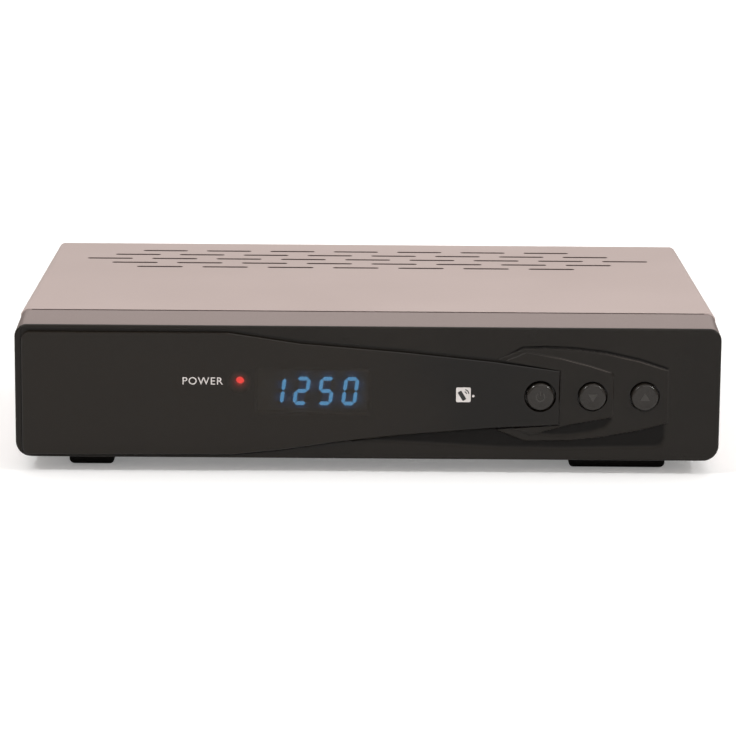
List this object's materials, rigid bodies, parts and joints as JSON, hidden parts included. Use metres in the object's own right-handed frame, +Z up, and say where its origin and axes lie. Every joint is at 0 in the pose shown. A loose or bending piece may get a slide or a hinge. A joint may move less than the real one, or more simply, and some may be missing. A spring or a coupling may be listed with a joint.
{
  "type": "satellite tv receiver",
  "caption": "Set-top satellite television receiver: a slotted steel case with a black front, lit display and push buttons, sockets and a mains switch at the back.",
  "frame": {"origin": "on the surface that the feet stand on, under the middle of the whole receiver's box", "axes": "+X to the right seen from the front, +Y to the back, +Z up"},
  "size_m": [0.25, 0.1676, 0.0575],
  "materials": {
    "case_paint": "satin grey-beige paint",
    "zinc_steel": "zinc-plated sheet",
    "foot_rubber": "moulded, matt",
    "bezel_paint": "satin silver-grey paint on a moulding",
    "black_face": "moulded black plastic, half gloss",
    "tinted_window": "dark tinted acrylic",
    "black_button": "moulded, half gloss",
    "key_plastic": "moulded",
    "board_green": "solder resist on glass-fibre board",
    "board_tan": "paper-phenolic board",
    "screw_steel": "plated",
    "display_body": "moulded",
    "lamp_red": "red tinted lamp",
    "display_blue": "lit blue bars",
    "chip_black": "moulded resin",
    "tin_plate": "tin-plated sheet",
    "nickel_plate": "nickel plate",
    "white_insert": "moulded insulator",
    "socket_black": "moulded",
    "jack_orange": "moulded orange insulator",
    "sink_aluminium": "extruded",
    "capacitor_sleeve": "shrink sleeve on an aluminium can",
    "transformer_tape": "yellow tape over a ferrite core",
    "choke_core": "wound ferrite",
    "fuse_glass": "glass tube in clips",
    "wire_sleeve": "insulation",
    "ribbon_grey": "flat cable"
  },
  "bodies": {
    "case": {"top_cover": "case_paint", "bottom_chassis": "zinc_steel", "front_left_foot": "foot_rubber", "front_right_foot": "foot_rubber", "rear_left_foot": "foot_rubber", "rear_right_foot": "foot_rubber", "front_bezel": "bezel_paint", "front_fascia": "black_face", "display_lens": "tinted_window", "front_board": "board_green", "front_board_screws": "screw_steel", "key_switches": "key_plastic", "display_module": "display_body", "display_segments": "display_blue", "power_lamp": "lamp_red", "remote_receiver": "chip_black", "main_board": "board_green", "main_board_screws": "screw_steel", "tuner_can": "tin_plate", "tuner_lid": "tin_plate", "lnb_in_socket": "nickel_plate", "lnb_out_socket": "nickel_plate", "lnb_socket_nuts": "nickel_plate", "lnb_socket_inserts": "white_insert", "scart_socket": "socket_black", "hdmi_shell": "nickel_plate", "hdmi_tongue": "socket_black", "usb_shell": "nickel_plate", "usb_tongue": "socket_black", "audio_jack_body": "jack_orange", "audio_jack_sleeve": "nickel_plate", "processor": "chip_black", "processor_heatsink": "sink_aluminium", "memory_chips": "chip_black", "board_capacitors": "capacitor_sleeve", "supply_board": "board_tan", "supply_board_screws": "screw_steel", "supply_transformer": "transformer_tape", "mains_capacitor": "capacitor_sleeve", "supply_capacitors": "capacitor_sleeve", "line_choke": "choke_core", "mains_fuse": "fuse_glass", "supply_heatsink": "sink_aluminium", "mains_inlet": "socket_black", "inlet_pins": "nickel_plate", "rocker_housing": "socket_black", "mains_wires": "wire_sleeve", "ribbon_headers": "white_insert", "front_ribbon_cable": "ribbon_grey", "supply_cable": "ribbon_grey", "cover_side_screws": "screw_steel"},
    "power_key": {"power_button": "black_button", "power_key_plunger": "key_plastic"},
    "down_key": {"down_button": "black_button", "down_key_plunger": "key_plastic"},
    "up_key": {"up_button": "black_button", "up_key_plunger": "key_plastic"},
    "rocker": {"mains_rocker": "socket_black"}
  },
  "joints": [
    {"name": "power_press", "type": "slide", "parent": "case", "child": "power_key", "axis": [0, 1, 0], "range_m": [0, 0.0003], "stiffness_N_per_m": 8000},
    {"name": "down_press", "type": "slide", "parent": "case", "child": "down_key", "axis": [0, 1, 0], "range_m": [0, 0.0003], "stiffness_N_per_m": 8000},
    {"name": "up_press", "type": "slide", "parent": "case", "child": "up_key", "axis": [0, 1, 0], "range_m": [0, 0.0003], "stiffness_N_per_m": 8000},
    {"name": "rocker_tilt", "type": "hinge", "parent": "case", "child": "rocker", "pos_m": [-0.10445, 0.0674, 0.029], "axis": [1, 0, 0], "range_deg": [0, 14]}
  ]
}
